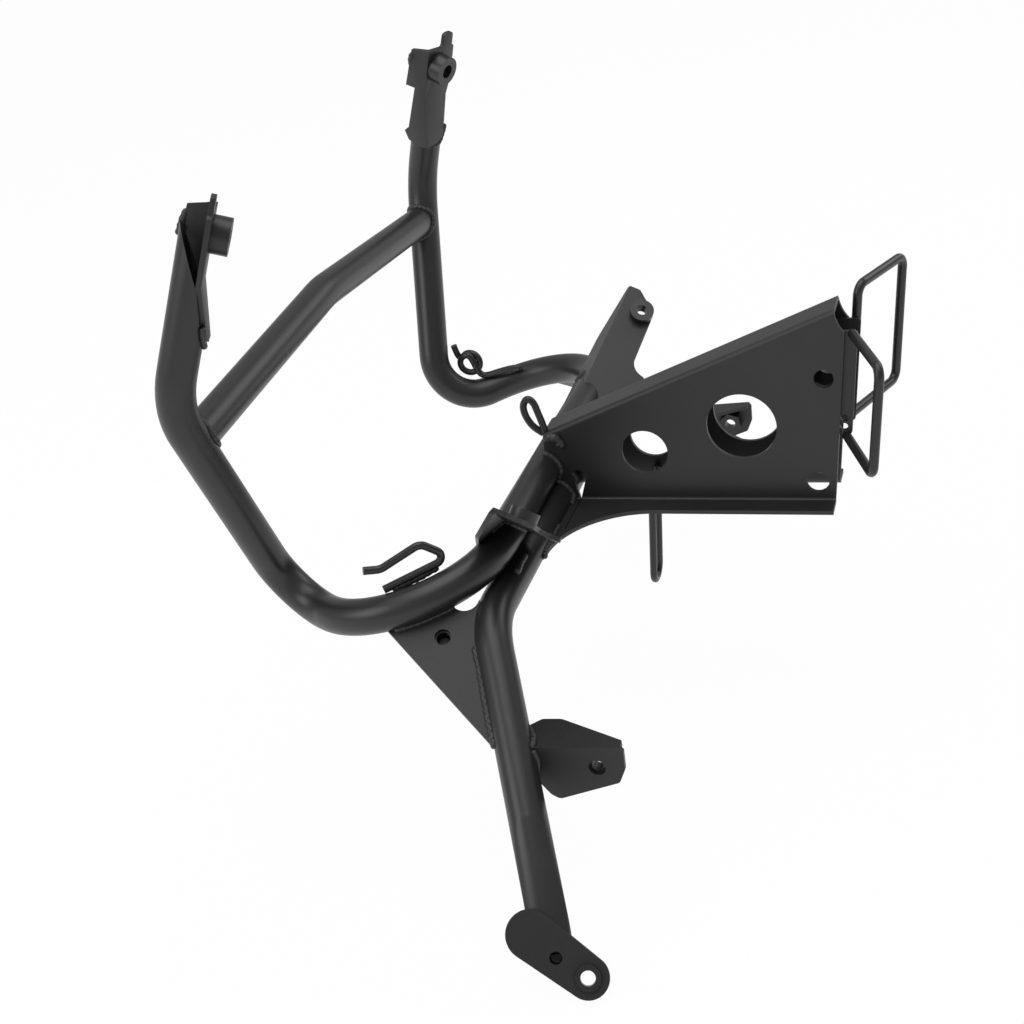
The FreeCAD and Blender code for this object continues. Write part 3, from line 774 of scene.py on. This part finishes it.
@dataclass(frozen=True)
class LegTube:
    """The leg tube, with both ends pressed flat where the foot plates lie on them.

    Attributes:
        end: Centre of the left leg's end.
        down: Direction of the left leg.
        plate_normal: Direction that the left foot plate faces.
        radius: Radius of the outside.
        length: How far up the leg the pressed end reaches.
        sink: How far the pressed face stays below the tube's outside at the plate.
        flat: Length of the part that lies along the plate.
        low: Depth of the pressed face under the leg's end, along the plate's normal.
        crown: Radius of the pressed face across the leg.
        sides: Faces round the tube.
        crown_sides: Faces round the barrel that shapes the pressed face.
    """

    end: Point = (266.14, -101.78, -171.54)
    down: Point = (0.7261, 0.3171, -0.6101)
    plate_normal: Point = (0.7511, 0.2506, 0.6107)
    radius: float = 9.55
    length: float = 62.0
    sink: float = 4.6
    flat: float = 20.0
    low: float = 0.5
    crown: float = 15.0
    sides: int = 64
    crown_sides: int = 128

    def press(self, top: Vector, along: Vector, out: Vector) -> bpy.types.Object:
        """Models a barrel whose upper side touches a line.

        Args:
            top: A point of the line, in metres.
            along: Its direction.
            out: Direction that the barrel's upper side faces.

        Returns:
            The barrel, long enough to pass both ends of the piece.
        """
        outward = (out - along * out.dot(along)).normalized()
        start = top - outward * (self.crown * MM) - along * (2 * self.length * MM)
        return Bench.rod("press", start, along, self.crown, 4 * self.length, self.crown_sides)

    def pressed_end(self, side: Side) -> bpy.types.Object:
        """Models one end: a round rod met by a leaning barrel and by one that lies along the plate.

        Args:
            side: The leg's side.

        Returns:
            The end, not yet joined to the tube.
        """
        axis = Bench.heading(self.down, side)
        normal = Bench.heading(self.plate_normal, side)
        out = (normal - axis * normal.dot(axis)).normalized()
        end = Bench.place(self.end, side)
        piece = Bench.rod("leg_end", end - axis * (self.length * MM), axis, self.radius, self.length,
                          self.sides)
        high = end - axis * (self.length * MM) + out * (self.radius * MM)
        near = end - axis * (self.flat * MM) + out * (self.sink * MM)
        Bench.carve(piece, self.press(high, (near - high).normalized(), out), "INTERSECT")
        level = end - normal * (self.low * MM)
        along = (axis - normal * normal.dot(axis)).normalized()
        Bench.carve(piece, self.press(level, along, normal), "INTERSECT")
        return piece

    def make(self, material: bpy.types.Material) -> bpy.types.Object:
        """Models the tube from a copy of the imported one, whose slanted ends make way for pressed ones.

        Args:
            material: Its finish.

        Returns:
            The finished piece.
        """
        piece = bpy.data.objects.new("leg_pipe", frame["nodes"]["leg_tube"].data.copy())
        bpy.context.scene.collection.objects.link(piece)
        Bench.apply(piece, "WELD", merge_threshold=0.002 * MM)
        ends = []
        for side in Side:
            axis = Bench.heading(self.down, side)
            start = Bench.place(self.end, side) - axis * (self.length * MM)
            Bench.carve(piece, Bench.rod("saw", start, axis, 2 * self.radius, 2 * self.length))
            ends.append(self.pressed_end(side))
        Bench.pick(piece, *ends)
        bpy.ops.object.join()
        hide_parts("leg_tube")
        return Bench.dress(piece, material)


@dataclass(frozen=True)
class Boss:
    """A short turned or six-sided piece with a bore from its foot.

    Attributes:
        name: Name of the piece, without its side.
        foot: Centre of its foot.
        axis: Direction from its foot to its top.
        radius: Radius over its corners.
        height: Height.
        bore: Radius of the bore.
        depth: Depth of the bore, from the foot.
        ease: Width of its eased edges.
        sides: Faces round it.
    """

    name: str
    foot: Point
    axis: Point
    radius: float
    height: float
    bore: float
    depth: float
    ease: float = 0.5
    sides: int = 48

    def make(self, side: Side, material: bpy.types.Material) -> bpy.types.Object:
        """Models the piece on one side.

        Args:
            side: The side.
            material: Its finish.

        Returns:
            The finished piece.
        """
        axis = Bench.heading(self.axis, side)
        foot = Bench.place(self.foot, side)
        piece = Bench.rod(side.named(self.name), foot, axis, self.radius, self.height, self.sides)
        Bench.drill(piece, foot - axis * MM, axis, self.bore, self.depth + 1.0)
        return Bench.dress(piece, material, self.ease)


@dataclass(frozen=True)
class MirrorBracket:
    """Sheet bracket at the top of the loop: a face, a wing along the tube and a foot on it.

    Attributes:
        face: Outline of the sheet that carries the mirror's boss.
        wing: Outline of the sheet that closes the tube's slanted mouth.
        foot: Outline of the sheet that is welded to the tube.
        sheet: Thickness.
        grows: Side of the outlines on which the thickness is.
        bore: Centre of the mirror's hole.
        bore_radius: Its radius.
        reach: How far the drill passes the bore's centre either way.
        fold_gap: Widest gap between outlines that the folds close.
        ease: Width of its eased edges.
    """

    face: Sequence[Point] = (
        (175.8, -252.8, 121.1), (155.0, -260.9, 119.9), (148.5, -249.3, 152.8), (150.8, -248.4, 152.9),
        (160.7, -245.1, 152.3), (161.7, -244.5, 152.7), (162.0, -244.0, 153.8), (161.1, -242.1, 158.9),
        (161.6, -241.6, 159.7), (163.3, -240.7, 160.4), (167.0, -239.4, 160.2), (168.3, -239.1, 159.7),
        (169.0, -239.4, 158.4), (170.3, -241.5, 152.4), (171.5, -241.3, 151.8), (172.3, -241.3, 151.1),
        (176.3, -248.4, 130.9))
    wing: Sequence[Point] = (
        (155.0, -260.9, 119.9), (157.9, -264.2, 91.4), (161.1, -272.5, 92.8), (163.0, -278.1, 96.8),
        (163.4, -279.9, 102.9), (161.8, -276.2, 105.0), (156.1, -265.5, 130.4), (158.4, -271.8, 132.5),
        (153.4, -262.2, 154.6), (148.5, -249.3, 152.8))
    foot: Sequence[Point] = (
        (172.7, -257.7, 96.7), (172.1, -258.2, 95.3), (171.4, -258.5, 94.7), (167.2, -260.5, 92.0),
        (160.3, -263.3, 91.6), (157.9, -264.2, 91.4), (155.0, -260.9, 119.9), (175.8, -252.8, 121.1))
    sheet: float = 2.5
    grows: Point = (0.317, -0.873, 0.371)
    bore: Point = (159.9, -250.0, 141.5)
    bore_radius: float = 4.25
    reach: float = 4.0
    fold_gap: float = 0.3
    ease: float = 0.35

    def outline(self, points: Sequence[Point], side: Side) -> bpy.types.Object:
        """Models one flat sheet from its outline.

        Args:
            points: The outline.
            side: The side.

        Returns:
            The sheet, as one face.
        """
        bpy.ops.object.select_all(action="DESELECT")
        bpy.ops.mesh.primitive_circle_add(vertices=len(points), radius=MM, fill_type="NGON")
        part = bpy.context.object
        for vertex, point in zip(part.data.vertices, points):
            vertex.co = Bench.place(point, side)
        return part

    def make(self, side: Side, material: bpy.types.Material) -> bpy.types.Object:
        """Models the bracket of one side from its three outlines, joined at the folds.

        Args:
            side: The side.
            material: Its finish.

        Returns:
            The finished piece.
        """
        parts = [self.outline(points, side) for points in (self.face, self.wing, self.foot)]
        Bench.pick(*parts)
        bpy.ops.object.join()
        piece = parts[0]
        piece.name = side.named("mirror_sheet")
        Bench.mend(piece, self.fold_gap)
        grows = Bench.heading(self.grows, side)
        widest = max(piece.data.polygons, key=lambda face: abs(face.normal.dot(grows)) * face.area)
        if widest.normal.dot(grows) < 0:
            bpy.ops.object.mode_set(mode="EDIT")
            bpy.ops.mesh.flip_normals()
            bpy.ops.object.mode_set(mode="OBJECT")
        Bench.apply(piece, "SOLIDIFY", thickness=self.sheet * MM, offset=1.0, use_even_offset=True)
        start = Bench.place(self.bore, side) - grows * (self.reach * MM)
        Bench.drill(piece, start, grows, self.bore_radius, 2 * self.reach)
        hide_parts(f"{side.name.lower()}_mirror_bracket")
        return Bench.dress(piece, material, self.ease)


@dataclass(frozen=True)
class RingClip:
    """Small wire eye that stands on the front corner of the channel's top.

    Attributes:
        line: Points of the wire's middle, from its front foot round to its rear one.
        radius: Radius of the wire.
    """

    line: Sequence[Point] = (
        (8.5, -158.2, -31.4), (8.5, -161.4, -29.4), (8.5, -165.2, -25.4), (8.5, -167.8, -19.4),
        (8.5, -168.0, -13.6), (8.5, -164.8, -9.6), (8.5, -161.4, -12.4), (8.5, -160.0, -18.0),
        (8.5, -158.4, -24.0), (8.5, -157.0, -30.4))
    radius: float = 2.05

    def make(self, material: bpy.types.Material) -> bpy.types.Object:
        """Models the eye as one bent wire with closed ends.

        Args:
            material: Its finish.

        Returns:
            The finished piece.
        """
        bpy.ops.object.select_all(action="DESELECT")
        bpy.ops.curve.primitive_nurbs_path_add()
        path = bpy.context.object
        spline = path.data.splines[0]
        spline.points.add(len(self.line) - len(spline.points))
        for knot, point in zip(spline.points, self.line):
            knot.co = (*Bench.place(point), 1.0)
        spline.order_u = 3
        spline.use_endpoint_u = True
        spline.resolution_u = 8
        path.data.bevel_depth = self.radius * MM
        path.data.bevel_resolution = 5
        path.data.use_fill_caps = True
        bpy.ops.object.convert(target="MESH")
        piece = bpy.context.object
        piece.name = "ring_wire"
        Bench.mend(piece, 0.01)
        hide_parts("ring_clip")
        return Bench.dress(piece, material)


@dataclass
class Fittings:
    """Pieces that the scene fits to the frame: brackets, the leg tube, nuts and the wire eye.

    Attributes:
        finishes: Where the materials come from.
        gusset_nut: Closed nut behind a gusset's hole.
        foot_rim: Raised rim round a foot's hole.
        foot_plug: Plug weld behind a foot's small hole.
    """

    finishes: Finishes
    gusset_nut: Boss = Boss("gusset_nut", foot=(155.44, -176.60, -75.78), axis=(-0.5654, -0.1768, -0.8056),
                            radius=7.5, height=9.0, bore=3.4, depth=7.0, sides=6)
    foot_rim: Boss = Boss("foot_rim", foot=(269.83, -86.02, -181.86), axis=(0.7511, 0.2506, 0.6107),
                          radius=6.3, height=2.5, bore=3.5, depth=4.0, ease=0.9)
    foot_plug: Boss = Boss("foot_plug", foot=(265.95, -101.40, -175.18), axis=(-0.7511, -0.2506, -0.6107),
                           radius=4.6, height=6.5, bore=2.9, depth=5.2)

    def make(self) -> list[bpy.types.Object]:
        """Models every fitting.

        Returns:
            The fitted pieces.
        """
        pieces = [RingClip().make(self.finishes.get(Finish.WIRE)),
                  LegTube().make(self.finishes.get(Finish.TUBE))]
        for side in Side:
            pieces.append(MirrorBracket().make(side, self.finishes.get(Finish.SHEET)))
            for boss in (self.gusset_nut, self.foot_rim, self.foot_plug):
                pieces.append(boss.make(side, self.finishes.get(Finish.TURNED)))
        return pieces


@dataclass(frozen=True)
class Lamp:
    """One square soft lamp that looks at the object.

    Attributes:
        name: Its name.
        place: Where it hangs, in metres.
        size: Width of its face.
        power: Power in watts.
        aim: What it looks at.
    """

    name: str
    place: Point
    size: float
    power: float
    aim: Point = (0.0, -0.12, 0.0)

    def make(self) -> bpy.types.Object:
        """Hangs the lamp.

        Returns:
            The lamp.
        """
        data = bpy.data.lights.new(self.name, "AREA")
        data.shape = "SQUARE"
        data.size = self.size
        data.energy = self.power
        lamp = bpy.data.objects.new(self.name, data)
        lamp.location = self.place
        lamp.rotation_euler = (Vector(self.aim) - Vector(self.place)).to_track_quat("-Z", "Y").to_euler()
        bpy.context.scene.collection.objects.link(lamp)
        return lamp


@dataclass
class Studio:
    """Pale floor, pale sky and soft lamps.

    Attributes:
        floor_z: Height of the floor.
        floor_size: Width of the floor.
        floor_grey: Colour of the floor under its white glow.
        glow: Share of the floor that shows as plain white to the camera.
        sky: Strength of the surroundings as the object sees them.
        lamps: The lamps.
    """

    floor_z: float
    floor_size: float = 24.0
    floor_grey: float = 0.86
    glow: float = 0.97
    sky: float = 0.42
    lamps: tuple[Lamp, ...] = (
        Lamp("overhead", (0.10, -0.20, 1.70), 1.6, 17.0),
        Lamp("front_left", (1.20, -1.30, 0.90), 1.0, 9.0),
        Lamp("rear_right", (-1.20, 0.90, 1.00), 1.0, 6.0),
    )

    def floor(self) -> bpy.types.Object:
        """Makes the floor, bright to the camera and with the object's shadow on it.

        Returns:
            The floor.
        """
        bpy.ops.object.select_all(action="DESELECT")
        bpy.ops.mesh.primitive_plane_add(size=self.floor_size, location=(0.0, 0.0, self.floor_z))
        floor = bpy.context.object
        floor.name = "floor"
        material = bpy.data.materials.new("floor")
        material.use_nodes = True
        graph = Graph(material.node_tree)
        rays = graph.node("ShaderNodeLightPath")
        seen = graph.out(rays, "Is Camera Ray").larger(graph.out(rays, "Is Glossy Ray"))
        matt = graph.node("ShaderNodeBsdfDiffuse", None, Color=(*[self.floor_grey] * 3, 1.0))
        white = graph.node("ShaderNodeEmission", None, Color=(1.0, 1.0, 1.0, 1.0), Strength=1.0)
        mix = graph.node("ShaderNodeMixShader")
        for socket, value in zip(mix.inputs, (seen * self.glow, matt.outputs[0], white.outputs[0])):
            graph.feed(socket, value)
        graph.node("ShaderNodeOutputMaterial", None, Surface=mix.outputs[0])
        floor.data.materials.append(material)
        return floor

    def world(self) -> None:
        """Makes the surroundings: white to the camera, softer for the object."""
        world = bpy.data.worlds.new("studio")
        world.use_nodes = True
        graph = Graph(world.node_tree)
        seen = graph.out(graph.node("ShaderNodeLightPath"), "Is Camera Ray")
        sky = graph.node("ShaderNodeBackground", None, Color=(1.0, 1.0, 1.0, 1.0),
                         Strength=self.sky + seen * (1.0 - self.sky))
        graph.node("ShaderNodeOutputWorld", None, Surface=sky.outputs[0])
        bpy.context.scene.world = world

    def make(self) -> None:
        """Sets up everything round the object."""
        self.floor()
        self.world()
        for lamp in self.lamps:
            lamp.make()
        bpy.context.scene.view_settings.view_transform = "Standard"


@dataclass(frozen=True)
class PhotoCamera:
    """The camera as it stood for the photograph.

    Attributes:
        place: Where it stands, in metres.
        right: Direction to the right of the picture.
        ahead: Direction of view.
        focal_px: Focal length in pixels of the picture.
        picture_px: Width of the picture.
        sensor_mm: Width of the sensor.
        near_m: Nearest distance that it sees.
        far_m: Farthest distance that it sees.
    """

    place: Point = (0.78409, 0.10607, 0.33474)
    right: Point = (-0.2795, 0.9496, -0.1418)
    ahead: Point = (-0.8365, -0.3134, -0.4495)
    focal_px: float = 1588.96
    picture_px: int = 1024
    sensor_mm: float = 36.0
    near_m: float = 0.01
    far_m: float = 50.0

    def make(self) -> bpy.types.Object:
        """Adds the camera and makes it the scene's own.

        Returns:
            The camera.
        """
        data = bpy.data.cameras.new("photo_camera")
        data.sensor_width = self.sensor_mm
        data.lens = self.focal_px * self.sensor_mm / self.picture_px
        data.clip_start = self.near_m
        data.clip_end = self.far_m
        camera = bpy.data.objects.new("photo_camera", data)
        back = -Vector(self.ahead).normalized()
        right = Vector(self.right)
        right = (right - back * right.dot(back)).normalized()
        up = back.cross(right)
        turn = Matrix((right, up, back)).transposed().to_4x4()
        camera.matrix_world = Matrix.Translation(self.place) @ turn
        bpy.context.scene.collection.objects.link(camera)
        bpy.context.scene.camera = camera
        return camera


def main() -> None:
    """Dresses the frame and sets the scene."""
    logging.basicConfig(level=logging.INFO)
    PhotoCamera().make()
    finishes = Finishes()
    CadCoat(finishes).apply(frame["nodes"])
    for piece in (*Welds(finishes).make(), *Fittings(finishes).make()):
        log.info("%s: fitted", piece.name)
    Studio(floor_z=CAD_BOX[0][2] - FLOOR_GAP).make()


if __name__ == "__main__":
    main()
